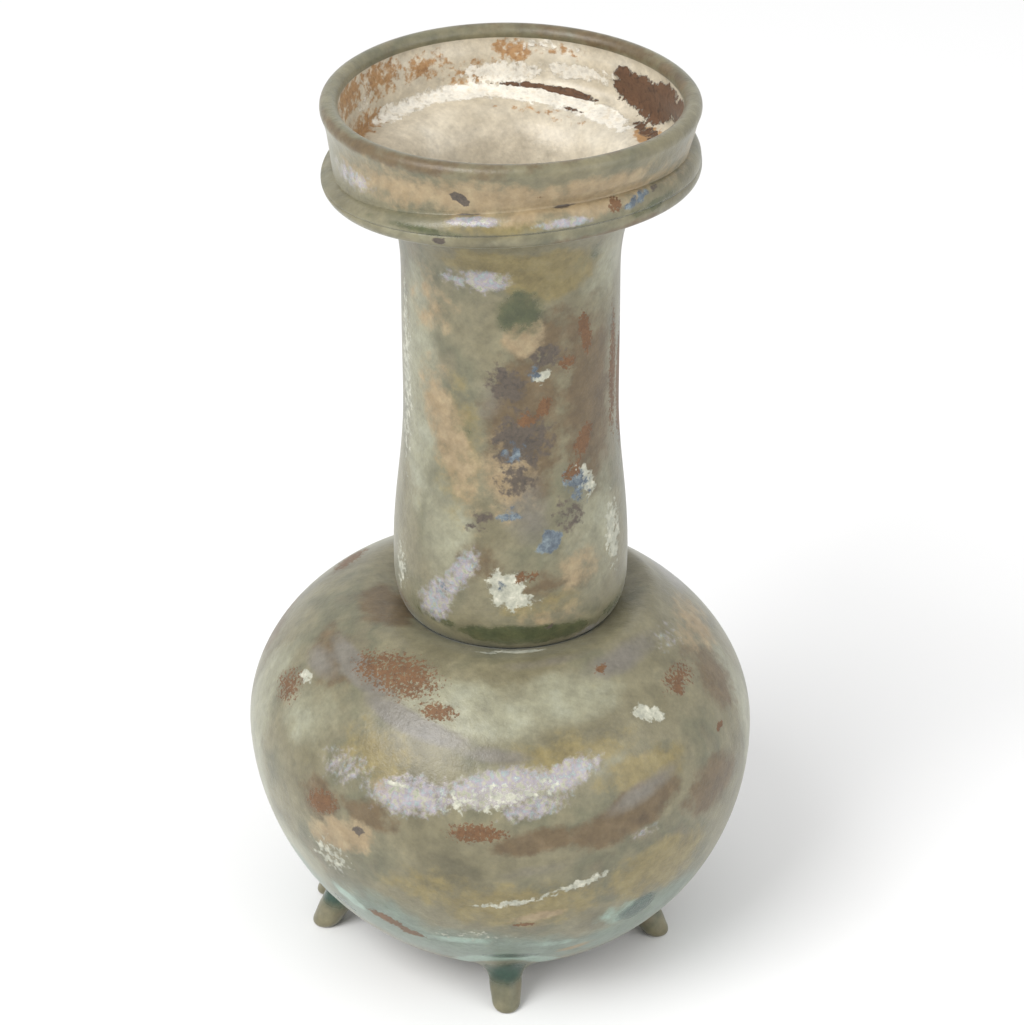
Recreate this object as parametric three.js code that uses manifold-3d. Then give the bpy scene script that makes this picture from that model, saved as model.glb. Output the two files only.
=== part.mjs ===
// A small perfume flask of free-blown glass, in millimetres, +Z up. It has a round body, a tall neck
// that stands a little off centre, a cup-shaped mouth over a folded collar, and short feet that were
// pinched and drawn out of the hot lower wall. It is all one piece of glass, hollow and open at the top.
// The origin is on the table, under the middle of the body. Azimuths run from the front, -Y, towards +X.
import * as THREE from 'three';
import { mergeVertices } from 'three/addons/utils/BufferGeometryUtils.js';
import Module from 'manifold-3d';

const wasm = await Module();
wasm.setup();
const { degToRad, smoothstep, lerp } = THREE.MathUtils;

// Driving dimensions: the vessel.
const HEIGHT = 130; // from the table to the top of the lip
const BODY_RADIUS = 35.85; // at the belly
const BELLY_HEIGHT = 34; // the widest level
const BASE_HEIGHT = 3.5; // the underside, above the table
const SHOULDER_HEIGHT = 54.3; // the flat top of the body
const NECK_RADIUS = 14.8;
const NECK_ROOT_RADIUS = 16.4; // the bulge where the neck sits on the body
const COLLAR_RADIUS = 25.45; // the folded ring under the mouth
const COLLAR_HEIGHT = 118.9; // its underside
const MOUTH_RADIUS = 24.1; // outside of the cup's wall
const LIP_ROLL = 1.22; // radius of the fire-rounded lip
const LIP_RADIUS = 23.93; // the circle at the middle of that roll

// Driving dimensions: the glass.
const BODY_WALL = 1.6;
const BASE_WALL = 3.1;
const NECK_WALL = 2;
const CUP_WALL = 1.75;

// Driving dimensions: what the hand left uneven.
const BODY_LEAN = 0.029; // sideways shift of the body for each mm of height, to -X going up
const NECK_OFFSET = 1.5; // the neck and mouth stand this far to +X
const COLLAR_TILT = 0.5; // the ring hangs lower at the front and higher at the back
const COLLAR_WAVE = 0.66; // and rises and falls twice round
const WAVE_TURN = degToRad(31);
const COLLAR_OVAL = 0.93; // it reaches further at the front left and the back right
const COLLAR_SWELL = 1.1; // it is thicker at the right and the front, and thinner at the left
const COLLAR_OFFSET = 0.16; // and it stands a little further to +X than the neck
const LIP_WAVE = 0.28; // the lip rises and falls with it by this much

// Driving dimensions: the feet.
const FOOT_AZIMUTHS = { front: 4.8, right: 75, back_right: 141, back_left: 209, left: 279.3 };
const NUB_AZIMUTH = 261; // a smaller, half-drawn foot just behind the left one
const FEET_CIRCLE = 25; // radius of the circle through the middles of the tips
const FEET_OFFSET = -1.2; // that circle's middle is shifted along X
const FOOT_LEAN = 28; // degrees that a foot splays outwards
const FOOT_TIP = 2.05; // radius near the tip
const FOOT_FLAT = 1.2; // radius of the flat it stands on
const FOOT_ROOT = 2.45; // radius where it starts to flare into the wall
const FOOT_FLARE = 5; // radius at the end of the flare, inside the wall
const FOOT_LENGTH = 9.6; // height of that end above the table
const NUB_SCALE = 0.88;

const AROUND = 48; // facets around the vessel
const AROUND_FOOT = 10;

const point = (radius, height) => new THREE.Vector2(radius, height);
const line = (r1, z1, r2, z2) => new THREE.LineCurve(point(r1, z1), point(r2, z2));

// Part of an ellipse about (radius, height), from one angle to another in degrees, 0 pointing outwards
// and 90 up.
function arc(radius, height, reach, rise, from, to) {
  return new THREE.EllipseCurve(radius, height, reach, rise, degToRad(from), degToRad(to), to < from);
}

// The smooth curve that leaves one curve's end and meets the next one's start in their own directions.
function blend(before, after) {
  const [start, end] = [before.getPoint(1), after.getPoint(0)];
  const pull = start.distanceTo(end) * 0.4;
  return new THREE.CubicBezierCurve(
    start,
    start.clone().addScaledVector(before.getTangent(1), pull),
    end.clone().addScaledVector(after.getTangent(0), -pull),
    end,
  );
}

// The points of a profile. Each stretch is [curve, steps, joinSteps]: the curve in that many steps,
// then a blend to the next stretch in joinSteps, or a corner where joinSteps is left out.
function trace(stretches) {
  const points = [];
  const add = (more) => more.forEach((p) => {
    if (!points.length || points.at(-1).distanceTo(p) > 1e-4) points.push(p);
  });
  stretches.forEach(([curve, steps, joinSteps], i) => {
    add(curve.getPoints(steps));
    if (joinSteps) add(blend(curve, stretches[i + 1][0]).getPoints(joinSteps));
  });
  return points;
}

// Levels and radii that the profiles share.
const CREASE_HEIGHT = SHOULDER_HEIGHT - 0.8; // the sharp crease round the neck's root
const CREASE_RADIUS = 14.3;
const ROOT_BULGE = NECK_ROOT_RADIUS - CREASE_RADIUS;
const ROOT_HEIGHT = CREASE_HEIGHT + 6.3; // where the neck's root bulges most
const TUBE_BOTTOM = 86; // between these two levels the neck is a plain tube
const TUBE_TOP = 105;
const RING_TOP = COLLAR_HEIGHT + 4; // the crease where the folded ring meets the cup's wall
const CUP_TOP = HEIGHT - 4.4; // where the cup's wall starts to turn out into the lip
const LIP_HEIGHT = HEIGHT - LIP_WAVE - LIP_ROLL;
const LOWER_DROP = 36.2; // the lower half of the body is half an ellipse this tall, cut by the underside
const UPPER_RISE = 25.1; // and the upper half is half an ellipse this tall, cut by the shoulder

// Outside, from the middle of the underside up to the lip, and over it. The underside has a shallow
// kick in the middle. The collar is a fold of the wall: a small lobe under a larger one.
const KICK = 0.8;
const LOWER_LOBE = 1;
const UPPER_LOBE = 1.65;
const CUP_LEAN = 0.3; // the cup's wall leans out this far either side of its middle
const outside = [
  [line(0, BASE_HEIGHT + KICK, 5, BASE_HEIGHT + KICK), 1, 2],
  [line(12, BASE_HEIGHT, 14, BASE_HEIGHT), 1, 3],
  [arc(0, BELLY_HEIGHT, BODY_RADIUS, LOWER_DROP, -50, 0), 6],
  [arc(0, BELLY_HEIGHT, BODY_RADIUS, UPPER_RISE, 0, 51), 5, 3],
  [line(18, SHOULDER_HEIGHT, CREASE_RADIUS, CREASE_HEIGHT), 1],
  [arc(CREASE_RADIUS, ROOT_HEIGHT, ROOT_BULGE, ROOT_HEIGHT - CREASE_HEIGHT, -90, 0), 3, 3],
  [line(NECK_RADIUS, TUBE_BOTTOM, NECK_RADIUS, TUBE_TOP), 1, 4],
  [line(COLLAR_RADIUS - 3, COLLAR_HEIGHT - 0.2, COLLAR_RADIUS - LOWER_LOBE, COLLAR_HEIGHT), 1],
  [arc(COLLAR_RADIUS - LOWER_LOBE, COLLAR_HEIGHT + 1.2, LOWER_LOBE, 1.2, -90, 60), 3],
  [arc(COLLAR_RADIUS - 0.1 - UPPER_LOBE, RING_TOP - 2, UPPER_LOBE, 2, -5, 86), 5],
  [line(MOUTH_RADIUS - CUP_LEAN, RING_TOP, MOUTH_RADIUS + CUP_LEAN, CUP_TOP), 2, 1],
  [arc(LIP_RADIUS, LIP_HEIGHT, LIP_ROLL, LIP_ROLL, -25, 205), 6, 1],
];

// Inside, from the lip down the cup, over the ledge, through the neck and round the hollow body.
const CUP_RADIUS = MOUTH_RADIUS - CUP_WALL;
const LEDGE_HEIGHT = COLLAR_HEIGHT + 1.4;
const BORE_RADIUS = NECK_RADIUS - NECK_WALL;
const ROOT_BORE = NECK_ROOT_RADIUS - NECK_WALL - 0.2;
const THROAT_RADIUS = CREASE_RADIUS - NECK_WALL - 0.1; // the narrowest place, just above the crease
const HOLLOW_RADIUS = BODY_RADIUS - BODY_WALL;
const HOLLOW_FLOOR = BASE_HEIGHT + BASE_WALL;
const inside = [
  [line(CUP_RADIUS, CUP_TOP, CUP_RADIUS, CUP_TOP - 3), 1, 3],
  [line(CUP_RADIUS - 2, LEDGE_HEIGHT, 18.5, LEDGE_HEIGHT - 0.4), 1, 4],
  [line(BORE_RADIUS, TUBE_TOP - 1, BORE_RADIUS, TUBE_BOTTOM - 2), 1, 3],
  [line(ROOT_BORE, ROOT_HEIGHT + 3, ROOT_BORE, ROOT_HEIGHT), 1, 2],
  [line(THROAT_RADIUS, CREASE_HEIGHT + 2, THROAT_RADIUS, CREASE_HEIGHT + 1), 1, 3],
  [arc(0, BELLY_HEIGHT, HOLLOW_RADIUS, UPPER_RISE - 2.5, 52, 0), 4],
  [arc(0, BELLY_HEIGHT, HOLLOW_RADIUS, LOWER_DROP - 2, 0, -48), 5, 2],
  [line(13, HOLLOW_FLOOR, 0, HOLLOW_FLOOR), 1],
];

// The body leans, the neck and mouth stand off centre, and the collar and the lip aren't level or round.
function unevenness(v) {
  const radius = Math.hypot(v.x, v.y);
  const azimuth = Math.atan2(v.x, -v.y);
  const [twoLobes, turnedLobes] = [Math.cos(2 * azimuth), Math.sin(2 * azimuth)];

  const onNeck = smoothstep(v.z, SHOULDER_HEIGHT - 14, SHOULDER_HEIGHT - 4) * smoothstep(27 - radius, 0, 10);
  const offCentre = Math.max(onNeck, smoothstep(v.z, ROOT_HEIGHT, ROOT_HEIGHT + 10));
  const shift = lerp(BODY_LEAN * (BELLY_HEIGHT - v.z), NECK_OFFSET, offCentre);

  const overRing = smoothstep(v.z, RING_TOP, RING_TOP + 3);
  const ring = smoothstep(v.z, COLLAR_HEIGHT - 7, COLLAR_HEIGHT) * (1 - overRing);
  const upperLobe = smoothstep(v.z, RING_TOP - 3.5, RING_TOP) * (1 - overRing);
  const rim = ring * smoothstep(radius, MOUTH_RADIUS - 4, COLLAR_RADIUS);
  const oval = 1 + rim * COLLAR_OVAL * (0.3 * twoLobes - turnedLobes) / COLLAR_RADIUS;
  const wave = Math.cos(2 * azimuth - WAVE_TURN);
  const dip = ring * (COLLAR_WAVE * wave - COLLAR_TILT * Math.cos(azimuth));
  const thicker = Math.sin(azimuth) + 0.5 * (Math.cos(azimuth) + twoLobes - 1);
  const swell = upperLobe * COLLAR_SWELL * thicker;
  const lip = smoothstep(v.z, CUP_TOP, LIP_HEIGHT) * LIP_WAVE * wave;
  return v.set(v.x * oval + shift + rim * COLLAR_OFFSET, v.y * oval, v.z + dip + swell + lip);
}

// A profile turned about Z, with the hand's unevenness.
function turned(points) {
  const geometry = new THREE.LatheGeometry(points, AROUND).rotateX(Math.PI / 2);
  const { position } = geometry.attributes;
  const v = new THREE.Vector3();
  for (let i = 0; i < position.count; i += 1) {
    unevenness(v.fromBufferAttribute(position, i));
    position.setXYZ(i, v.x, v.y, v.z);
  }
  return solid(geometry);
}

// A closed geometry as a solid that can be joined and cut.
function solid(geometry) {
  geometry.deleteAttribute('normal');
  geometry.deleteAttribute('uv');
  const merged = mergeVertices(geometry, 1e-3);
  const corners = Array.from(merged.index.array);
  const triangles = [];
  for (let i = 0; i < corners.length; i += 3) {
    const [a, b, c] = corners.slice(i, i + 3);
    if (a !== b && b !== c && c !== a) triangles.push(a, b, c);
  }
  return new wasm.Manifold(new wasm.Mesh({
    numProp: 3,
    vertProperties: merged.attributes.position.array,
    triVerts: new Uint32Array(triangles),
  }));
}

// A foot stands on a small flat tip. Its round sections stay level and step inwards going up, so
// that it splays, and it flares where it runs into the wall.
function foot(azimuth, size) {
  const rounding = FOOT_TIP - FOOT_FLAT;
  const sections = new THREE.LatheGeometry(trace([
    [line(0, 0, FOOT_FLAT, 0), 1],
    [arc(FOOT_FLAT, FOOT_FLAT, rounding, FOOT_FLAT, -90, 0), 2, 1],
    [line(FOOT_ROOT, 4.6, FOOT_ROOT + 0.1, 5.2), 1, 2],
    [line(FOOT_FLARE, FOOT_LENGTH, 0, FOOT_LENGTH), 1],
  ]), AROUND_FOOT).scale(size, size, size).rotateX(Math.PI / 2);
  const splay = new THREE.Matrix4().makeShear(0, 0, 0, 0, 0, Math.tan(degToRad(FOOT_LEAN)));
  const place = new THREE.Matrix4()
    .makeTranslation(FEET_OFFSET, 0, 0)
    .multiply(new THREE.Matrix4().makeRotationZ(degToRad(azimuth)))
    .multiply(new THREE.Matrix4().makeTranslation(0, -FEET_CIRCLE, 0));
  return solid(sections.applyMatrix4(splay).applyMatrix4(place));
}

// The wall of the vessel, with its feet. A foot's root ends half way through the wall, so that
// nothing of it stands up inside the hollow.
function glassFlask() {
  const wall = turned(trace([...outside, ...inside]));
  const halfWall = BODY_WALL / 2;
  const core = turned(trace([
    [line(0, BASE_HEIGHT + BASE_WALL / 2, 13, BASE_HEIGHT + BASE_WALL / 2), 1, 3],
    [arc(0, BELLY_HEIGHT, BODY_RADIUS - halfWall, LOWER_DROP - halfWall, -50, 0), 6],
    [line(BODY_RADIUS - halfWall, BELLY_HEIGHT, 0, BELLY_HEIGHT), 1],
  ]));
  const feet = Object.values(FOOT_AZIMUTHS).map((azimuth) => foot(azimuth, 1));
  const nub = foot(NUB_AZIMUTH, NUB_SCALE);
  return [...feet, nub].reduce((glass, each) => glass.add(each.subtract(core)), wall);
}

// A solid as the geometry of a mesh.
function geometryOf(made) {
  const { vertProperties, triVerts } = made.getMesh();
  const geometry = new THREE.BufferGeometry();
  geometry.setAttribute('position', new THREE.BufferAttribute(vertProperties, 3));
  geometry.setIndex(new THREE.BufferAttribute(triVerts, 1));
  geometry.computeVertexNormals();
  return geometry;
}

const weatheredGlass = new THREE.MeshStandardMaterial({ color: '#8f8a70', roughness: 0.45, metalness: 0 });
const flask = new THREE.Mesh(geometryOf(glassFlask()), weatheredGlass);
flask.name = 'glass_flask';

const group = new THREE.Group();
group.add(flask);

export default group;
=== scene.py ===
"""A small perfume flask of free-blown glass, dug up after centuries in the soil.

Shapes are worked out in millimetres and written into the meshes in metres. Azimuths run from the front,
-Y, towards +X. The glass is one surface: up the outside from the middle of the underside, over the lip,
and down the inside to the floor of the hollow, with the feet joined on.
"""
import math

import bpy
import numpy as np
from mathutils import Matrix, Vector


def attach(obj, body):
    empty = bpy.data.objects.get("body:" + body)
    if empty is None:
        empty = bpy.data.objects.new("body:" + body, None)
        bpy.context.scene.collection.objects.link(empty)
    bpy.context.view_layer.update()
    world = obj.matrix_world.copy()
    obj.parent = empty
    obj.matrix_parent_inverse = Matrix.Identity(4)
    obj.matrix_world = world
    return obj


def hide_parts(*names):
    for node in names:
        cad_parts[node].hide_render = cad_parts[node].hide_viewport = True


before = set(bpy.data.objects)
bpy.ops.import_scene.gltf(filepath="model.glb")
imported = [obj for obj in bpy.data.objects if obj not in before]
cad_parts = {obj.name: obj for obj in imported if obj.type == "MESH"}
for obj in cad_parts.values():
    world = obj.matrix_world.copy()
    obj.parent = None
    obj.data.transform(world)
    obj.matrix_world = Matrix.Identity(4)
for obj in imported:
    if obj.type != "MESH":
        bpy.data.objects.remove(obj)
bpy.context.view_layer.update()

MM = 0.001

# The vessel, as the solid part has it.
HEIGHT = 130.0
BODY_RADIUS = 35.85
BELLY_HEIGHT = 34.0
BASE_HEIGHT = 3.5
SHOULDER_HEIGHT = 54.3
NECK_RADIUS = 14.8
NECK_ROOT_RADIUS = 16.4
COLLAR_RADIUS = 25.45
COLLAR_HEIGHT = 118.9
MOUTH_RADIUS = 24.1
LIP_ROLL = 1.22
LIP_RADIUS = 23.93
BODY_WALL = 1.6
BASE_WALL = 3.1
NECK_WALL = 2.0
CUP_WALL = 1.75

# What the hand left uneven.
BODY_LEAN = 0.029
NECK_OFFSET = 1.5
COLLAR_TILT = 0.5
COLLAR_WAVE = 0.66
WAVE_TURN = math.radians(31)
COLLAR_OVAL = 0.93
COLLAR_SWELL = 1.1
COLLAR_OFFSET = 0.16
LIP_WAVE = 0.28
WOBBLE = 0.1

# The feet: azimuth and size of each.
FEET = {
    "front": (4.8, 1.0),
    "right": (75, 1.0),
    "back right": (141, 1.0),
    "back left": (209, 1.0),
    "left": (279.3, 1.06),
    "nub": (261, 0.88),
}
FEET_CIRCLE = 25.0
FEET_OFFSET = -1.2
FOOT_LEAN = 28.0
FOOT_FLAT = 1.2
FOOT_TIP = 2.05
FOOT_WAIST = 2.3
FOOT_WAIST_HEIGHT = 3.2
FOOT_FLARE = 5.0
FOOT_WEB = 1.8

AROUND = 256
AROUND_FOOT = 48

# Levels and radii that the profiles share.
CREASE_HEIGHT = SHOULDER_HEIGHT - 0.8
CREASE_RADIUS = 14.3
ROOT_HEIGHT = CREASE_HEIGHT + 6.3
TUBE_BOTTOM = 86.0
TUBE_TOP = 105.0
RING_TOP = COLLAR_HEIGHT + 4.0
CUP_TOP = HEIGHT - 4.4
LIP_HEIGHT = HEIGHT - LIP_WAVE - LIP_ROLL
LOWER_DROP = 36.2
UPPER_RISE = 25.1
KICK = 0.8
LOWER_LOBE = 1.0
UPPER_LOBE = 1.65
CUP_LEAN = 0.3
CUP_RADIUS = MOUTH_RADIUS - CUP_WALL
LEDGE_HEIGHT = COLLAR_HEIGHT + 1.4
BORE_RADIUS = NECK_RADIUS - NECK_WALL
ROOT_BORE = NECK_ROOT_RADIUS - NECK_WALL - 0.2
THROAT_RADIUS = CREASE_RADIUS - NECK_WALL - 0.1
HOLLOW_RADIUS = BODY_RADIUS - BODY_WALL
HOLLOW_FLOOR = BASE_HEIGHT + BASE_WALL

# A curve that leads from one stretch of a profile to the next has handles of this share of the gap.
JOIN_HANDLE = 0.4
# The neck's offset begins this far under the shoulder's top, is whole this far under it, and reaches out
# to this radius, fading over the last stretch.
NECK_SHIFT_FROM = 14.0
NECK_SHIFT_WHOLE = 4.0
NECK_SHIFT_RADIUS = 27.0
NECK_SHIFT_FADE = 10.0
# The heights over which the ring's dip fades out above it and sets in below it, and over which its upper
# lobe's swelling sets in.
RING_FADE_ABOVE = 3.0
RING_FADE_BELOW = 7.0
UPPER_LOBE_FADE = 3.5


# ---- curves and surfaces ----

def smoothstep(value, start, end):
    """0 up to start, 1 from end, and 3t^2 - 2t^3 between them, t being the share of the way."""
    t = np.clip((value - start) / (end - start), 0, 1)
    return t * t * (3 - 2 * t)


def line(r1, z1, r2, z2, steps):
    """Even steps along the straight line between two points (radius, height)."""
    t = np.linspace(0, 1, steps + 1)[:, None]
    return (1 - t) * np.array([r1, z1]) + t * np.array([r2, z2])


def arc(radius, height, reach, rise, start, end, steps):
    """Even steps of angle along an ellipse about (radius, height), 0 degrees outwards and 90 up."""
    angle = np.radians(np.linspace(start, end, steps + 1))
    return np.column_stack([radius + reach * np.cos(angle), height + rise * np.sin(angle)])


def bezier(start, leaving, arriving, end, steps):
    """The cubic Bezier curve from start to end, whose handles are the two given offsets. Works on whole
    arrays of points at once: the first axis of the result is the step."""
    t = np.linspace(0, 1, steps + 1).reshape(-1, *[1] * np.ndim(start))
    handle_1, handle_2 = start + leaving, end - arriving
    return ((1 - t) ** 3 * start + 3 * (1 - t) ** 2 * t * handle_1
            + 3 * (1 - t) * t ** 2 * handle_2 + t ** 3 * end)


def joined(stretches):
    """One profile out of stretches (curve, join steps). Where join steps is given, a Bezier curve leads to
    the next stretch, tangent to both; otherwise the two meet in a corner."""
    parts = []
    for i, (curve, join) in enumerate(stretches):
        parts.append(curve)
        if join:
            after = stretches[i + 1][0]
            pull = JOIN_HANDLE * np.linalg.norm(after[0] - curve[-1])
            ways = (curve[-1] - curve[-2], after[1] - after[0])
            leaving, arriving = (way / np.linalg.norm(way) * pull for way in ways)
            parts.append(bezier(curve[-1], leaving, arriving, after[0], join))
    profile = np.concatenate(parts)
    apart = np.linalg.norm(np.diff(profile, axis=0), axis=1) > 1e-4
    return profile[np.concatenate([[True], apart])]


OUTSIDE = joined([
    (line(0, BASE_HEIGHT + KICK, 5, BASE_HEIGHT + KICK, 2), 4),
    (line(12, BASE_HEIGHT, 14, BASE_HEIGHT, 2), 10),
    (arc(0, BELLY_HEIGHT, BODY_RADIUS, LOWER_DROP, -50, 0, 36), 0),
    (arc(0, BELLY_HEIGHT, BODY_RADIUS, UPPER_RISE, 0, 51, 30), 12),
    (line(18, SHOULDER_HEIGHT, CREASE_RADIUS, CREASE_HEIGHT, 4), 0),
    (arc(CREASE_RADIUS, ROOT_HEIGHT,
         NECK_ROOT_RADIUS - CREASE_RADIUS, ROOT_HEIGHT - CREASE_HEIGHT, -90, 0, 12), 14),
    (line(NECK_RADIUS, TUBE_BOTTOM, NECK_RADIUS, TUBE_TOP, 14), 14),
    (line(COLLAR_RADIUS - 3, COLLAR_HEIGHT - 0.2, COLLAR_RADIUS - LOWER_LOBE, COLLAR_HEIGHT, 3), 0),
    (arc(COLLAR_RADIUS - LOWER_LOBE, COLLAR_HEIGHT + 1.2, LOWER_LOBE, 1.2, -90, 60, 9), 0),
    (arc(COLLAR_RADIUS - 0.1 - UPPER_LOBE, RING_TOP - 2, UPPER_LOBE, 2, -5, 86, 14), 0),
    (line(MOUTH_RADIUS - CUP_LEAN, RING_TOP, MOUTH_RADIUS + CUP_LEAN, CUP_TOP, 6), 4),
    (arc(LIP_RADIUS, LIP_HEIGHT, LIP_ROLL, LIP_ROLL, -25, 190, 18), 0),
])
INSIDE = joined([
    (arc(LIP_RADIUS, LIP_HEIGHT, LIP_ROLL, LIP_ROLL, 190, 205, 2), 3),
    (line(CUP_RADIUS, CUP_TOP, CUP_RADIUS, CUP_TOP - 3, 8), 12),
    (line(CUP_RADIUS - 2, LEDGE_HEIGHT, 18.5, LEDGE_HEIGHT - 0.4, 3), 14),
    (line(BORE_RADIUS, TUBE_TOP - 1, BORE_RADIUS, TUBE_BOTTOM - 2, 3), 3),
    (line(ROOT_BORE, ROOT_HEIGHT + 3, ROOT_BORE, ROOT_HEIGHT, 1), 2),
    (line(THROAT_RADIUS, CREASE_HEIGHT + 2, THROAT_RADIUS, CREASE_HEIGHT + 1, 1), 4),
    (arc(0, BELLY_HEIGHT, HOLLOW_RADIUS, UPPER_RISE - 2.5, 52, 0, 8), 0),
    (arc(0, BELLY_HEIGHT, HOLLOW_RADIUS, LOWER_DROP - 2, 0, -48, 8), 2),
    (line(13, HOLLOW_FLOOR, 0, HOLLOW_FLOOR, 2), 0),
])


def azimuth_of(points):
    """Angle round the axis in degrees, from -Y towards +X."""
    return np.degrees(np.arctan2(points[..., 0], -points[..., 1]))


def unevenness(points):
    """Shifts the body sideways by its lean times the height, and the neck by a fixed offset. Tilts, waves,
    swells and flattens the collar, and waves the lip, each as a cosine or sine of the azimuth."""
    x, y, z = points[..., 0], points[..., 1], points[..., 2]
    radius = np.hypot(x, y)
    azimuth = np.arctan2(x, -y)
    on_neck = (smoothstep(z, SHOULDER_HEIGHT - NECK_SHIFT_FROM, SHOULDER_HEIGHT - NECK_SHIFT_WHOLE)
               * smoothstep(NECK_SHIFT_RADIUS - radius, 0, NECK_SHIFT_FADE))
    off_centre = np.maximum(on_neck, smoothstep(z, ROOT_HEIGHT, ROOT_HEIGHT + NECK_SHIFT_FADE))
    shift = BODY_LEAN * (BELLY_HEIGHT - z) * (1 - off_centre) + NECK_OFFSET * off_centre
    over_ring = smoothstep(z, RING_TOP, RING_TOP + RING_FADE_ABOVE)
    ring = smoothstep(z, COLLAR_HEIGHT - RING_FADE_BELOW, COLLAR_HEIGHT) * (1 - over_ring)
    upper_lobe = smoothstep(z, RING_TOP - UPPER_LOBE_FADE, RING_TOP) * (1 - over_ring)
    rim = ring * smoothstep(radius, MOUTH_RADIUS - 4, COLLAR_RADIUS)
    oval = 1 + rim * COLLAR_OVAL * (0.3 * np.cos(2 * azimuth) - np.sin(2 * azimuth)) / COLLAR_RADIUS
    wave = np.cos(2 * azimuth - WAVE_TURN)
    dip = ring * (COLLAR_WAVE * wave - COLLAR_TILT * np.cos(azimuth))
    thicker = np.sin(azimuth) + 0.5 * (np.cos(azimuth) + np.cos(2 * azimuth) - 1)
    swell = upper_lobe * COLLAR_SWELL * thicker
    lip = smoothstep(z, CUP_TOP, LIP_HEIGHT) * LIP_WAVE * wave
    return np.stack([x * oval + shift + rim * COLLAR_OFFSET, y * oval, z + dip + swell + lip], axis=-1)


def wobble(points):
    """How far the blown wall falls short of a true turned shape: a sum of four slow waves that run round,
    up and aslant, never more than WOBBLE, and always inwards."""
    azimuth, z = np.radians(azimuth_of(points)), points[..., 2]
    waves = (np.sin(3 * azimuth + 0.11 * z + 0.4) + np.sin(5 * azimuth - 0.17 * z + 2.1)
             + np.sin(2 * azimuth + 0.31 * z) + 0.7 * np.sin(9 * azimuth + 0.23 * z + 1.3))
    return WOBBLE * (waves / 3.7 - 1) / 2


def grid_faces(rows, around):
    """Quads between neighbouring rows of a closed grid whose rows run round, with a pole before the first
    row and after the last. Returns the faces as index lists; the poles are vertices 0 and 1."""
    index = 2 + np.arange(rows * around).reshape(rows, around)
    after = np.roll(index, -1, axis=1)
    quads = np.stack([index[:-1], after[:-1], after[1:], index[1:]], axis=-1).reshape(-1, 4)
    first = np.stack([np.zeros(around, int), after[0], index[0]], axis=-1)
    last = np.stack([np.ones(around, int), index[-1], after[-1]], axis=-1)
    return first.tolist() + last.tolist(), quads.tolist()


def closed_mesh(name, rows, start, end):
    """A mesh out of a grid of points (row, place round the row, xyz), closed by a pole at each end."""
    points = np.concatenate([start[None], end[None], rows.reshape(-1, 3)])
    caps, quads = grid_faces(rows.shape[0], rows.shape[1])
    mesh = bpy.data.meshes.new(name)
    mesh.from_pydata((points * MM).tolist(), [], caps + quads)
    mesh.polygons.foreach_set("use_smooth", np.ones(len(mesh.polygons), bool))
    mesh.update()
    piece = bpy.data.objects.new(name, mesh)
    bpy.context.collection.objects.link(piece)
    return piece


def turned(profile):
    """A profile of (radius, height) carried round the axis, and drawn in by the wobble."""
    angle = np.linspace(0, 2 * np.pi, AROUND, endpoint=False)
    radius, height = profile[:, :1], profile[:, 1:]
    points = np.stack([radius * np.sin(angle), -radius * np.cos(angle), height + 0 * angle], axis=-1)
    narrower = 1 + wobble(points) / np.maximum(radius, 8)
    points[..., :2] *= narrower[..., None]
    return points


def skin_point(azimuth, along, depth):
    """The point of the body's lower outside at an azimuth in degrees and a distance along its profile from
    the axis, sunk into the wall by a depth along the profile's normal."""
    lower = OUTSIDE[:np.argmax(OUTSIDE[:, 0]) + 1]
    step = np.linalg.norm(np.diff(lower, axis=0), axis=1)
    travelled = np.concatenate([[0], np.cumsum(step)])
    slope = np.gradient(lower, travelled, axis=0)
    slope_r, slope_z = (np.interp(along, travelled, slope[:, i]) for i in (0, 1))
    radius = np.interp(along, travelled, lower[:, 0]) - depth * slope_z
    height = np.interp(along, travelled, lower[:, 1]) + depth * slope_r
    turn = np.radians(azimuth)
    return unevenness(np.stack([radius * np.sin(turn), -radius * np.cos(turn), height], axis=-1))


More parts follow.
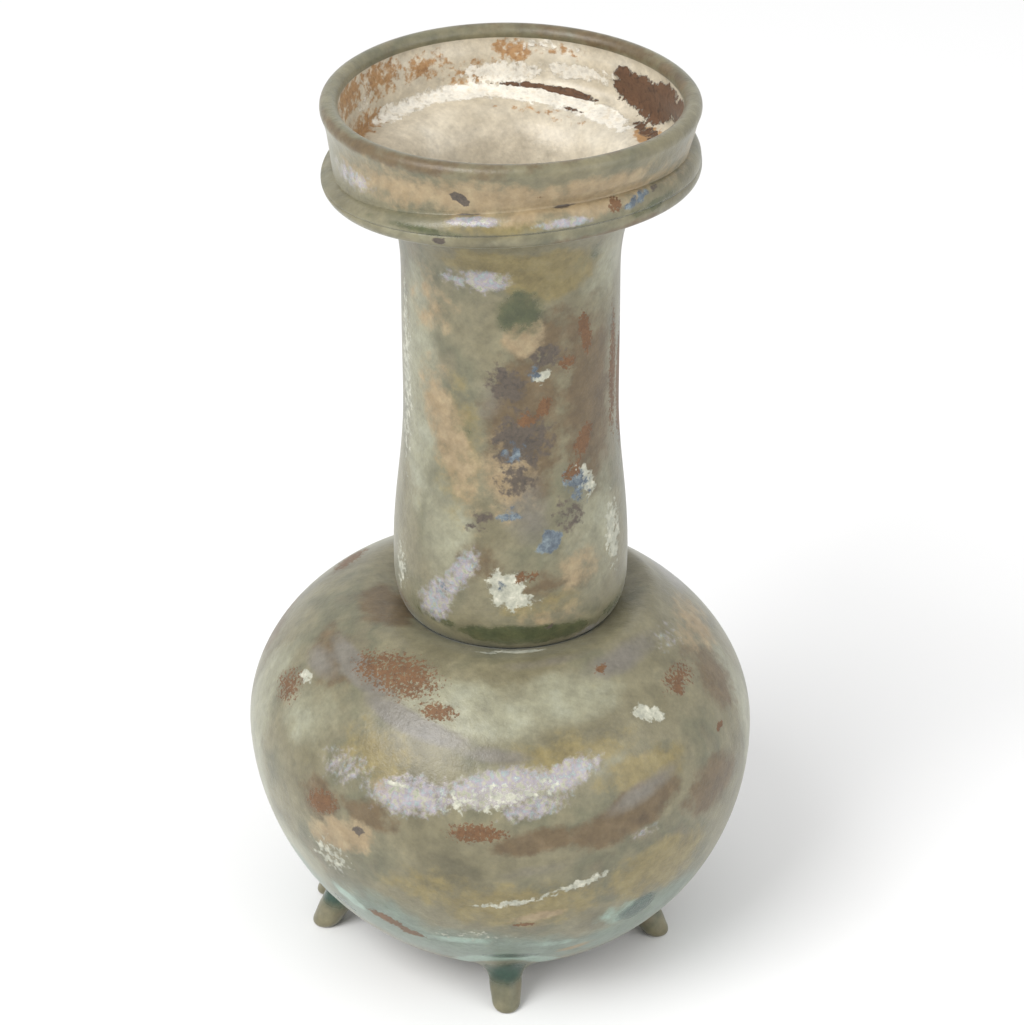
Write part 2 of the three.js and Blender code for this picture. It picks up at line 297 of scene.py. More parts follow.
def foot(name, azimuth, size):
    """A foot drawn out of the wall: level rings up a leaning peg, from a small flat through a rounded edge
    to a waist, then Bezier curves that leave the waist along the peg and arrive along the wall's skin, on a
    circle round the root that reaches further up the wall. Inside the wall the rings close half way in."""
    lean = math.tan(math.radians(FOOT_LEAN))
    outward = np.array([math.sin(math.radians(azimuth)), -math.cos(math.radians(azimuth)), 0])
    around = np.linspace(0, 2 * np.pi, AROUND_FOOT, endpoint=False)

    def middle(height):
        """The peg's middle at a height: it steps towards the axis as it rises."""
        return (np.array([FEET_OFFSET, 0, 0]) + (FEET_CIRCLE - lean * height)[..., None] * outward
                + height[..., None] * np.array([0, 0, 1.0]))

    peg = joined([
        (line(0.4, 0, FOOT_FLAT, 0, 2), 0),
        (arc(FOOT_FLAT, FOOT_FLAT, FOOT_TIP - FOOT_FLAT, FOOT_FLAT, -90, 0, 6), 5),
        (line(FOOT_WAIST - 0.05, FOOT_WAIST_HEIGHT - 0.5, FOOT_WAIST, FOOT_WAIST_HEIGHT, 1), 0),
    ]) * size
    # The ring runs from "up the wall" at angle 0 to the right, seen from outside.
    sideways = np.array([outward[1], -outward[0], 0])
    ring = np.cos(around)[:, None] * outward + np.sin(around)[:, None] * sideways
    pegs = middle(peg[:, 1])[:, None, :] + peg[:, :1, None] * ring

    # Where the peg's middle line meets the skin, as an azimuth and a distance along the profile. The body's
    # lean is taken off first, because the profile has none.
    lower = OUTSIDE[:np.argmax(OUTSIDE[:, 0]) + 1]
    travelled = np.concatenate([[0], np.cumsum(np.linalg.norm(np.diff(lower, axis=0), axis=1))])
    heights = np.linspace(1, 12, 400)
    trial = middle(heights)
    trial[:, 0] -= BODY_LEAN * (BELLY_HEIGHT - heights)
    reach = np.hypot(trial[:, 0], trial[:, 1])
    at = np.argmin(np.abs(reach - np.interp(heights, lower[:, 1], lower[:, 0])))
    root_azimuth, root_along = azimuth_of(trial[at]), np.interp(heights[at], lower[:, 1], travelled)

    reach_up = size * (FOOT_FLARE + FOOT_WEB * np.maximum(np.cos(around), 0))

    def on_skin(share, depth):
        """The ring at a share of the root's size, on the skin or under it."""
        up, across = share * reach_up * np.cos(around), share * size * FOOT_FLARE * np.sin(around)
        along = root_along + up
        radius = np.interp(along, travelled, lower[:, 0])
        return skin_point(root_azimuth - np.degrees(across / radius), along, depth)

    edge = on_skin(1.0, 0.1)
    arriving = on_skin(1.0, 0.1) - on_skin(0.8, 0.0)
    leaving = np.array([0, 0, 1.0]) - lean * outward
    pull = 0.42 * np.linalg.norm(edge - pegs[-1], axis=1)[:, None]
    flare = bezier(pegs[-1], leaving / np.linalg.norm(leaving) * pull,
                   arriving / np.linalg.norm(arriving, axis=1)[:, None] * pull * 1.3, edge, 16)
    inner = np.stack([on_skin(share, BODY_WALL * 0.5) for share in (0.97, 0.7, 0.4, 0.15)])
    rows = np.concatenate([pegs, flare[1:], inner])
    return closed_mesh(name, rows, middle(np.array([0.0]))[0], on_skin(0.0, BODY_WALL * 0.5)[0])


def glass_flask():
    """The turned vessel with its feet joined on, as one mesh with two material places: 0 for the outside
    and the lip, and 1 for the inside."""
    profile = np.concatenate([OUTSIDE, INSIDE[1:]])
    rows = turned(profile[1:-1])
    poles = np.array([[0, 0, profile[0, 1]], [0, 0, profile[-1, 1]]])
    piece = closed_mesh("glass_flask_finished", unevenness(rows), *unevenness(poles))
    store(piece.data, "turned", np.concatenate([poles, rows.reshape(-1, 3)]))
    inside_from = len(OUTSIDE) - 1
    quad_rows = np.repeat(np.arange(len(rows) - 1), AROUND)
    slots = np.concatenate([np.zeros(AROUND), np.ones(AROUND), quad_rows >= inside_from]).astype(np.int32)
    for name in ("soil-etched blown glass", "lime-crusted blown glass"):
        piece.data.materials.append(bpy.data.materials.new(name))
    piece.data.polygons.foreach_set("material_index", slots)

    feet = [foot("foot " + name, *place) for name, place in FEET.items()]
    for each in feet:
        join = piece.modifiers.new(each.name, "BOOLEAN")
        join.operation, join.solver, join.object = "UNION", "EXACT", each
    made = piece.evaluated_get(bpy.context.evaluated_depsgraph_get())
    mesh = bpy.data.meshes.new_from_object(made)
    piece.modifiers.clear()
    piece.data = mesh
    for each in feet:
        bpy.data.objects.remove(each)
    return piece


# ---- what the soil and the centuries left, with some painted light and shade, and where ----

# Each patch is (azimuth, height, half width, half height, turn, strength): degrees, mm, mm, mm, degrees
# against the clock, and how surely the finish shows there. Patches of one finish run into each other.
OUTSIDE_PATCHES = {
    # Thin, pale green-grey glass. Painted light as well: the tall patches at the body's two sides paint its
    # pale edges, and those on the shoulder's front and on the left of the neck and body paint where the light
    # falls.
    "clear": [
        (-10, 51, 14, 5, -10, 0.9), (18, 51.5, 12, 5, 0, 0.8), (-78, 30, 8, 24, 0, 1.0),
        (82, 34, 6, 22, 0, 0.8), (-56, 45, 8, 6, 0, 0.6), (-52, 92, 6, 26, 0, 0.75),
        (-30, 72, 6, 10, 0, 0.7), (8, 44, 18, 4, 8, 0.5), (-62, 20, 12, 8, 0, 0.9),
        (50, 70, 6, 12, 0, 0.6), (4, 120, 40, 1.0, 0, 0.3), (60, 108, 6, 8, 0, 0.6),
        (176, 52, 30, 6, 0, 0.7), (150, 80, 9, 26, 0, 0.6), (-128, 34, 16, 16, 0, 0.6),
        (128, 26, 16, 10, 0, 0.6),
    ],
    # Soil film, warm tan.
    "tan": [
        (13, 101.4, 3.6, 4.4, 0, 1.0), (-30, 86, 5, 16, 20, 0.7), (-42, 104, 7, 8, 0, 0.5),
        (4, 81, 6, 10, 0, 0.6), (-2, 125, 22, 4, 0, 0.75), (30, 125, 16, 4, 0, 0.75),
        (-40, 125, 16, 4, 0, 0.6), (70, 125, 20, 4, 0, 0.5), (40, 66, 5, 5, 0, 0.6),
        (88, 50, 10, 6, 0, 0.6), (-38, 32, 8, 4, 20, 0.75), (-26, 41, 4, 2, 0, 0.6),
        (26, 59, 8, 2.4, 0, 0.5), (180, 125, 60, 4, 0, 0.5), (-150, 46, 14, 6, 0, 0.5),
        (160, 96, 7, 12, 0, 0.5), (22, 12, 5, 1.2, 12, 0.85), (9, 22, 6, 1.3, 8, 0.7),
    ],
    # Yellow-olive glass.
    "yellow": [
        (26, 110.5, 9, 5, 0, 1.0), (-5, 112, 10, 3, 0, 0.9), (-24, 84, 5, 14, 0, 0.6),
        (18, 46, 12, 4, 0, 0.6), (36, 42, 10, 4, 0, 0.7), (-32, 45, 8, 5, 0, 0.6),
        (5, 24, 16, 6, 0, 0.7), (40, 26, 12, 7, 0, 0.8), (-16, 27, 10, 5, 0, 0.5),
        (-2, 122, 9, 1.6, 0, 0.7), (-62, 118.5, 12, 1.6, 0, 0.8), (-150, 108, 12, 6, 0, 0.7),
        (-170, 26, 20, 8, 0, 0.6), (20, 61, 10, 3, 0, 0.5),
    ],
    # Brown film.
    "brown": [
        (-74, 54.0, 7, 5, 0, 1.0), (-62, 51.0, 8, 4, -20, 0.7), (8, 35.5, 9, 2.6, 10, 0.8),
        (30, 37.0, 12, 4.0, 14, 1.0), (56, 35.0, 9, 5, 0, 0.8), (74, 46.0, 6, 8, 0, 0.7),
        (-30, 37, 6, 3, 0, 0.6), (-44, 36.5, 5, 4, 0, 0.7), (12, 88.0, 7, 15, 0, 0.8),
        (30, 100.0, 7, 7, 0, 0.6), (50, 90, 6, 18, 0, 0.75), (0, 129, 90, 1.6, 0, 0.6),
        (180, 129, 90, 1.6, 0, 0.6), (-50, 118.6, 20, 1.0, 0, 0.6), (150, 38, 18, 7, 8, 0.8),
        (-110, 44, 14, 6, 0, 0.8), (-160, 84, 7, 16, 0, 0.7), (26, 64, 9, 3, 0, 0.5),
        (-8, 68, 5, 4, 0, 0.5), (40, 119.4, 16, 1, 0, 0.6),
    ],
    # Smooth grey haze in the drawn swirl.
    "haze": [
        (-50, 51.5, 12, 2.6, -10, 1.0), (-24, 48.8, 12, 2.4, -12, 1.0), (-2, 46.6, 9, 1.8, -6, 0.7),
        (34, 39.5, 10, 2.4, 14, 0.7), (10, 31, 10, 2, 8, 0.5), (-62, 50, 7, 3, 0, 0.7),
        (20, 54.2, 14, 1.6, 0, 0.5), (46, 53, 12, 3, 0, 0.7), (120, 50, 16, 4, -10, 0.8),
        (-140, 28, 16, 4, 10, 0.7), (14, 76, 5, 8, 0, 0.6), (-6, 92, 4, 5, 0, 0.5),
    ],
    # Blue-green glass low on the body, where it is thick.
    "teal": [
        (-10, 13, 20, 8, 0, 1.0), (-34, 17, 12, 9, 0, 0.9), (22, 12, 18, 6, 0, 0.9),
        (44, 16, 12, 7, 0, 0.8), (-62, 16, 14, 8, 0, 0.8), (80, 14, 20, 8, 0, 0.8),
        (180, 12, 60, 7, 0, 0.9), (-120, 14, 30, 8, 0, 0.8), (130, 14, 26, 8, 0, 0.8),
    ],
    # Deep green, where the glass is folded thick: at the neck's root and under the ring.
    "green": [
        (15, 56.4, 18, 2.4, 0, 1.0), (-38, 57.0, 10, 2.0, 0, 0.8), (75, 56.4, 14, 2.4, 0, 0.9),
        (-120, 56.6, 20, 2.2, 0, 0.8), (180, 56.6, 24, 2.4, 0, 0.9), (128, 56.6, 14, 2.4, 0, 0.8),
        (10, 105, 5, 5, 0, 0.8), (-50, 121.2, 8, 1.4, 0, 0.9), (-20, 120.8, 9, 0.9, 0, 0.7),
        (52, 121.0, 9, 1.4, 0, 0.7), (48, 112, 5, 4, 0, 0.5), (-16, 88, 2, 5, 0, 0.5),
    ],
    # Darkest green at the feet's roots, besides the round that each foot has of its own. The two patches at
    # 36 and -46 degrees are painted: they stand for a foot's root and its shade seen through the front wall.
    "root": [
        (36, 18.6, 4.5, 3.4, 30, 0.9), (-46, 15.6, 3.4, 1.8, -40, 0.9), (3, 11.2, 6, 1.6, 0, 0.8),
    ],
    # Pale mint beside the dark roots.
    "mint": [
        (-41, 18.6, 4.2, 2.0, -40, 1.0), (30, 19, 5, 4, 0, 0.6), (-12, 15.5, 8, 1.6, 8, 0.7),
        (14, 14.5, 7, 1.4, 0, 0.6),
    ],
    # Scaly, iridescent skin, and painted highlights: the two strongest patches, on the ring's top at -6 and
    # 19 degrees, paint the glint of the light there.
    "shine": [
        (-20, 41, 9, 4.0, 8, 0.8), (0, 43, 10, 3.6, 8, 0.95), (16, 44.0, 8, 2.8, 14, 0.8),
        (-38, 42, 7, 4, 0, 0.5), (8, 40.5, 7, 2.4, 10, 0.7), (-6, 122.4, 5.5, 1.0, 0, 1.0),
        (19, 122.0, 6, 1.0, 0, 1.0), (-58, 123.6, 9, 2.5, 0, 0.7), (-8, 109.4, 5, 2.4, 0, 0.9),
        (-26, 109.0, 4, 2, 0, 0.7), (-34, 60.5, 6, 4, 55, 0.8), (-20, 66, 6, 2.6, 55, 0.8),
        (48, 55, 5, 2, 0, 0.6), (70, 52, 6, 4, 0, 0.4), (-150, 60, 6, 6, 0, 0.7),
        (170, 42, 12, 4, 8, 0.8), (-100, 22, 9, 5, 0, 0.5), (34, 33.5, 4, 1.4, 0, 0.5),
    ],
    # Flakes and scuffs of whitened glass, and a painted highlight: the thin strip at 54 mm under the front of
    # the neck paints the glint where the neck meets the shoulder.
    "pale": [
        (3, 64.6, 3.6, 3.0, 0, 0.85), (8, 62.0, 4.4, 2.0, 0, 0.75), (43, 47.7, 3.6, 1.6, -30, 0.85),
        (5, 54.0, 6.5, 0.6, 0, 1.2), (21.6, 95.4, 1.8, 1.6, 0, 0.9), (45, 78.5, 1.8, 4, 30, 0.8),
        (-66, 62, 3, 6, 0, 0.5), (0, 42, 14, 3.0, 8, 0.42), (-42, 27, 6, 5, 0, 0.4),
        (18, 27.5, 7, 1.0, 14, 0.65), (2, 25, 7, 1.0, 8, 0.6), (-64, 48, 2.4, 1.4, 0, 0.7),
        (-6, 17, 10, 3, 0, 0.3), (-70, 92, 3, 22, 0, 0.5), (63, 68, 3, 8, 0, 0.55),
        (-24, 42, 2.4, 0.8, 0, 0.7), (160, 62, 5, 4, 0, 0.7), (-130, 46, 5, 3, 0, 0.7),
    ],
    # Pits and dark mottles, and painted shade: the long thin strips from 122.7 to 123.2 mm paint the shadow
    # in the crease where the cup's wall meets the ring.
    "dark": [
        (4, 94, 4.0, 5, 15, 0.62), (12, 86, 6, 6, 0, 0.68), (8, 80, 4, 4, 0, 0.6),
        (24, 98, 4, 3, 0, 0.6), (36, 74, 4, 4, 0, 0.5), (84, 88, 3, 20, 0, 0.5),
        (-10, 74, 4, 2, 40, 0.55), (26, 57.8, 2, 0.8, 20, 0.9), (-57.3, 126.2, 1.0, 1.0, 0, 1.3),
        (-55.5, 124.8, 0.8, 0.8, 0, 1.3), (-12.3, 125.4, 1.5, 0.9, -20, 1.4),
        (-10, 124.6, 0.7, 0.6, 0, 1.2), (20, 123.5, 2.4, 0.8, 0, 1.1), (27, 123.0, 1.4, 1.0, 0, 1.1),
        (-20, 126.8, 0.6, 0.5, 0, 1.0), (52, 122.6, 1.6, 0.8, 10, 1.1), (-17, 119.8, 1.3, 0.6, 0, 1.3),
        (-45, 122.7, 3, 0.35, 0, 1.0), (-28, 122.8, 4, 0.35, 0, 1.1), (-5, 123.0, 6, 0.3, 0, 0.95),
        (10, 123.1, 3, 0.3, 0, 0.9), (34, 122.8, 3, 0.35, 0, 0.9), (-32.5, 33.9, 1.2, 1.0, 0, 1.3),
        (150, 90, 4, 8, 0, 0.6), (-160, 123.2, 20, 0.4, 0, 0.8), (120, 123.2, 12, 0.4, 0, 0.8),
    ],
    # Small blue, metal-like scales.
    "blue": [
        (25, 70.5, 2.8, 2.0, 25, 1.2), (22, 72, 1.6, 1.0, 40, 1.0), (5, 75, 3, 2, 0, 0.6),
        (44, 122.4, 3.4, 1.2, 10, 0.9), (40, 78, 3, 5, 30, 0.7), (18, 96, 2, 1.6, 0, 0.7),
        (8, 84, 3, 3, 0, 0.6), (0, 64.5, 2, 2, 0, 0.6), (-32, 62, 4, 1.6, 55, 0.6),
    ],
    # Brown iron specks out of the soil.
    "rust": [
        (46, 100.3, 1.4, 4.6, 8, 0.8), (35.5, 96.7, 2.2, 1.8, 0, 0.85), (23, 90.7, 1.3, 2.2, -20, 0.9),
        (14, 89, 2, 1.6, 0, 0.7), (46, 84.3, 2.0, 3.6, -20, 0.85), (38, 80.0, 2.0, 2.4, -20, 0.75),
        (82, 88, 2.2, 12, 0, 0.75), (70, 92, 1.6, 14, 0, 0.6), (36, 122.6, 1.6, 1.6, 0, 0.85),
        (-34, 52.6, 9, 5, 0, 0.55), (-44, 52.4, 6, 4, 0, 0.52), (-18, 50.4, 4, 2, 0, 0.6),
        (-43, 36.0, 4, 2.6, 20, 0.66), (-30, 17.0, 4, 1.6, -20, 0.95), (-24, 15.0, 3, 1.2, -10, 0.85),
        (64, 41.5, 1.6, 0.7, 10, 1.1), (57, 48.2, 1.2, 1.6, 0, 0.8), (-68, 46, 5, 4, 0, 0.5),
        (60, 49, 6, 3, 0, 0.5), (36, 53.0, 1.4, 1.0, 0, 0.8), (-47, 126.2, 0.7, 0.5, 0, 0.9),
        (48, 126.0, 0.8, 0.6, 0, 1.0), (12, 126, 1.2, 0.5, 0, 0.8), (60, 128.4, 2, 1.2, 0, 0.7),
        (-5, 37, 6, 2.2, 0, 0.62), (6, 20.5, 2.4, 0.6, 0, 0.8), (-60, 56, 5, 2, 0, 0.55),
        (10, 65.5, 1.2, 0.8, 0, 1.0), (16, 65.6, 1.6, 0.7, 0, 0.9), (-130, 90, 4, 6, 0, 0.55),
        (170, 34, 6, 3, 0, 0.6), (-120, 52, 6, 3, 0, 0.6),
    ],
}
INSIDE_PATCHES = {
    # Orange-brown stain on the cup's wall and ledge.
    "stain": [
        (-130, 126, 7, 4, 0, 0.62), (-106, 126, 9, 4, 0, 0.66), (-150, 125.5, 6, 3, 0, 0.55),
        (176, 126.6, 4, 2.2, 0, 0.7), (160, 127, 5, 1.4, 0, 0.45), (-170, 123.5, 8, 3, 0, 0.45),
        (-86, 126, 8, 4, 0, 0.6), (85, 126, 9, 4, 0, 0.6), (112, 120.7, 4, 2.4, 0, 1.0),
        (-118, 120.7, 9, 3, 0, 0.6), (0, 125, 30, 4, 0, 0.5), (180, 119.6, 16, 1.6, 0, 0.55),
    ],
    # White, flaky lime.
    "lime": [
        (165, 120.4, 12, 2.8, 0, 0.95), (-165, 120.4, 12, 2.8, 0, 0.9), (140, 120.3, 9, 2.6, 0, 0.9),
        (-140, 120.3, 9, 2.6, 0, 0.7), (150, 124, 8, 2.0, 0, 0.85), (180, 123.5, 9, 2.2, 0, 0.7),
        (165, 127.5, 9, 1.4, 0, 0.45), (0, 120.3, 40, 2.6, 0, 0.6), (-120, 124, 6, 3, 0, 0.45),
    ],
    # Thick dark soil crust.
    "crust": [
        (128, 124.0, 5.5, 3.6, -12, 1.3), (114, 124.2, 7, 4.0, -24, 1.3), (98, 125.6, 5, 3.0, -30, 1.2),
        (134, 125.6, 3, 2.4, 0, 1.0), (152, 121.5, 9, 0.9, 0, 1.0), (176, 121.6, 10, 0.8, 0, 0.9),
        (-160, 121.6, 9, 0.8, 0, 0.85), (-132, 121.6, 9, 1.2, 0, 0.8), (-100, 121.8, 10, 1.8, 0, 0.7),
        (112, 121, 9, 1.8, 0, 1.0), (60, 121.2, 14, 1.4, 0, 0.7), (0, 121.2, 24, 1.4, 0, 0.7),
        (-50, 121.2, 14, 1.4, 0, 0.7), (170, 120.2, 4, 1.0, 0, 0.8), (150, 120.0, 3, 1.2, 0, 0.8),
        (-150, 119.8, 6, 0.8, 0, 0.8),
    ],
}


def nearness(points, patch, profile):
    """A patch's strength in its middle, falling to 0 at its rim and below outside, by 1 - d^2, where d is
    the distance from the middle in half sizes, sideways round the axis and up along the surface."""
    azimuth, height, wide, tall, turn, strength = patch
    rising = profile[np.argsort(profile[:, 1], kind="stable")]
    radius = np.interp(height, rising[:, 1], rising[:, 0])
    sideways = np.radians((azimuth_of(points) - azimuth + 180) % 360 - 180) * radius
    outward, above = np.hypot(points[:, 0], points[:, 1]) - radius, points[:, 2] - height
    upward = np.hypot(outward, above) * np.sign(above - 0.3 * outward)
    cos, sin = math.cos(math.radians(turn)), math.sin(math.radians(turn))
    u, v = sideways * cos + upward * sin, upward * cos - sideways * sin
    return strength * np.clip(1 - (u / wide) ** 2 - (v / tall) ** 2, 0, 1)


def store(mesh, name, values):
    """Writes one number, or one vector, for each vertex of a mesh."""
    kind, field = ("FLOAT", "value") if values.ndim == 1 else ("FLOAT_VECTOR", "vector")
    mesh.attributes.new(name, kind, "POINT").data.foreach_set(field, values.astype(np.float32).ravel())


def places_of(mesh):
    """Where each vertex is, and where it was before the hand's unevenness, both in mm. A foot's vertices have
    no earlier place, or one that is too far off to be theirs, so they keep their own."""
    points = np.empty(len(mesh.vertices) * 3)
    mesh.vertices.foreach_get("co", points)
    points = points.reshape(-1, 3) / MM
    earlier = np.empty(len(mesh.vertices) * 3)
    mesh.attributes["turned"].data.foreach_get("vector", earlier)
    earlier = earlier.reshape(-1, 3)
    absent = np.linalg.norm(earlier, axis=1) < 0.1
    too_far = np.linalg.norm(earlier - points, axis=1) > 5
    return points, np.where((absent | too_far)[:, None], points, earlier)


# A foot's dark root, in mm: how far in from the feet's circle and how high its middle is, and how far it
# spreads. The mint band lies round it at a distance, and is this wide.
ROOT_INSET = 2.0
ROOT_LEVEL = 6.2
ROOT_SPREAD = 3.4
MINT_DISTANCE = 6.0
MINT_WIDTH = 1.8

# How far, in degrees, the drawn glass has turned at each height.
DRAWN_HEIGHTS = (0, 20, 45, 54, 62, 130)
DRAWN_TURNS = (40, 20, 50, 110, 0, -230)
DRAWN_RADIUS = 20.0
DRAWN_STRETCH = 0.12


def weather(mesh):
    """Stores where each finish, painted highlight and painted shade shows, one number for each vertex, and
    the way that the glass was drawn: a place on a cylinder that turns with the height, so that streaks along
    it wind up the neck to the right and round the shoulder to the left. Foot roots are darker and greener, by
    exp(-d^2) round each: the thick glass's own green and, where it spreads onto the body, the root painted as
    seen through the wall."""
    points, places = places_of(mesh)
    shares = {}
    for patches, profile in ((OUTSIDE_PATCHES, OUTSIDE), (INSIDE_PATCHES, INSIDE)):
        for name, listed in patches.items():
            shares[name] = np.max([nearness(places, patch, profile) for patch in listed], axis=0)

    for azimuth, size in FEET.values():
        turn = math.radians(azimuth)
        circle = FEET_CIRCLE - ROOT_INSET
        root = np.array([circle * math.sin(turn) + FEET_OFFSET, -circle * math.cos(turn), ROOT_LEVEL])
        apart = np.linalg.norm(points - root, axis=1) / size
        shares["root"] = np.maximum(shares["root"], 1.1 * np.exp(-(apart / ROOT_SPREAD) ** 2))
        band = np.exp(-((apart - MINT_DISTANCE) / MINT_WIDTH) ** 2) * smoothstep(points[:, 2], 4, 8)
        shares["mint"] = np.maximum(shares["mint"], band)
    for name, share in shares.items():
        store(mesh, name, share)

    height = places[:, 2]
    turn = np.radians(azimuth_of(places) + np.interp(height, DRAWN_HEIGHTS, DRAWN_TURNS))
    around, along = DRAWN_RADIUS * np.stack([np.sin(turn), np.cos(turn)]), DRAWN_STRETCH * height
    store(mesh, "drawn", np.stack([*around, along], axis=-1))


# ---- materials ----

def linear(hex_colour):
    """An sRGB hex colour as linear RGBA."""
    values = [int(hex_colour[i:i + 2], 16) / 255 for i in (1, 3, 5)]
    return [v / 12.92 if v <= 0.04045 else ((v + 0.055) / 1.055) ** 2.4 for v in values] + [1.0]


def add(material, kind, inputs=None, **settings):
    """Adds a node of a kind to a material. Each input, by name or number, is a value or the output that is
    led into it."""
    node = material.node_tree.nodes.new("ShaderNode" + kind)
    for name, value in settings.items():
        setattr(node, name, value)
    for name, value in (inputs or {}).items():
        if isinstance(value, bpy.types.NodeSocket):
            material.node_tree.links.new(value, node.inputs[name])
        else:
            node.inputs[name].default_value = value
    return node


def ramp(material, factor, colours):
    """A colour ramp over evenly spaced hex colours."""
    node = add(material, "ValToRGB", {0: factor})
    band = node.color_ramp
    while len(band.elements) < len(colours):
        band.elements.new(0.5)
    for i, colour in enumerate(colours):
        band.elements[i].position = i / (len(colours) - 1)
        band.elements[i].color = linear(colour)
    return node.outputs[0]


# Each layer is (field, grain in mm, share everywhere, how ragged, how soft, colours, roughness, relief in
# mm). The colours vary with the grain. Relief is how far the layer stands proud; below 0 it is eaten away.
OUTSIDE_LAYERS = [
    # Over the pale glass, this layer also paints light: the body's pale side edges and its lit left side and
    # shoulder front.
    ("clear", 6.0, 0.10, 0.50, 0.30, ("#7f7c66", "#8d8b74", "#9a9a86"), 0.36, 0.0),
    ("teal", 6.0, 0.0, 0.45, 0.30, ("#5f6a5a", "#6f7d70", "#53614f"), 0.32, 0.0),
    ("yellow", 2.6, 0.10, 0.55, 0.25, ("#6c613e", "#7d7149", "#887d58"), 0.34, 0.0),
    ("brown", 2.6, 0.12, 0.55, 0.25, ("#564732", "#635339", "#6e5e45"), 0.42, 0.0),
    ("haze", 6.0, 0.0, 0.30, 0.25, ("#6a655a", "#757066", "#6e695b"), 0.30, 0.0),
    ("tan", 2.6, 0.06, 0.55, 0.22, ("#857354", "#948264", "#9c8d6e"), 0.45, 0.02),
    ("green", 2.6, 0.0, 0.40, 0.20, ("#3f452e", "#4d5136", "#5b5a3d"), 0.22, 0.0),
    ("mint", 2.6, 0.0, 0.45, 0.25, ("#7f9685", "#8fa597", "#6f8776"), 0.28, 0.0),
    # Besides the roots' own dark green, this layer paints roots and their shade seen through the wall.
    ("root", 6.0, 0.0, 0.30, 0.25, ("#22382e", "#2d473a", "#1f3529"), 0.18, 0.0),
    # Besides the iridescent skin, this layer paints the highlights on the ring's top.
    ("shine", 1.0, 0.0, 0.55, 0.25, ("#8a9480", "#a6a592", "#9c929a", "#92a09f", "#a89e80"), 0.24, 0.02),
    # Besides flakes and scuffs, this layer paints the highlight under the front of the neck.
    ("pale", 1.0, 0.10, 0.62, 0.10, ("#98998c", "#adad9c", "#c6c3b3"), 0.5, 0.03),
    # Besides pits and mottles, this layer paints the shade in the crease above the ring.
    ("dark", 1.0, 0.08, 0.60, 0.14, ("#453d33", "#544a3f", "#3a342f"), 0.42, -0.02),
    ("blue", 1.0, 0.0, 0.55, 0.12, ("#3f4650", "#58636c", "#7f8b8e"), 0.26, 0.0),
    ("rust", 0.45, 0.11, 0.60, 0.10, ("#5f4229", "#6f4f30", "#503724"), 0.65, 0.02),
]
INSIDE_LAYERS = [
    ("stain", 1.0, 0.10, 0.62, 0.14, ("#8f6a40", "#a9845a", "#7d5836"), 0.6, 0.02),
    ("lime", 1.0, 0.08, 0.60, 0.10, ("#d6d0c3", "#e4dfd3", "#cabfab"), 0.75, 0.08),
    ("crust", 1.0, 0.0, 0.55, 0.06, ("#4c3423", "#634630", "#38271b"), 0.85, 0.25),
    ("rust", 0.45, 0.12, 0.60, 0.08, ("#7a4a24", "#8f5c30", "#5f3a20"), 0.7, 0.02),
]
# The grains that the layers break up by, from slow drift to soil grit, in mm.
GRAINS = (6.0, 2.6, 1.0, 0.45)
# Noise keeps near its middle, so this part of it is stretched to 0 to 1.
NOISE_LOW = 0.28
NOISE_HIGH = 0.72
DRIFT = 14.0
STREAK = 0.8
GLASS_ROUGHNESS = 0.36
# How much each grain, and the streaks, darken and lighten the whole.
MOTTLING = ((2.6, 0.34), (1.0, 0.24), (0.45, 0.14))
STREAK_SWING = 0.2
# How far the wall swells and dips by itself, in mm, for two of the grains.
UNEVEN_SKIN = ((0.45, 0.02), (2.6, 0.05))

OUTSIDE_GLASS = ("#5f5a44", "#6f6950", "#7b755c", "#686650", "#756d56")
INSIDE_GLASS = ("#b3a893", "#c6bca8", "#cfc9bb")


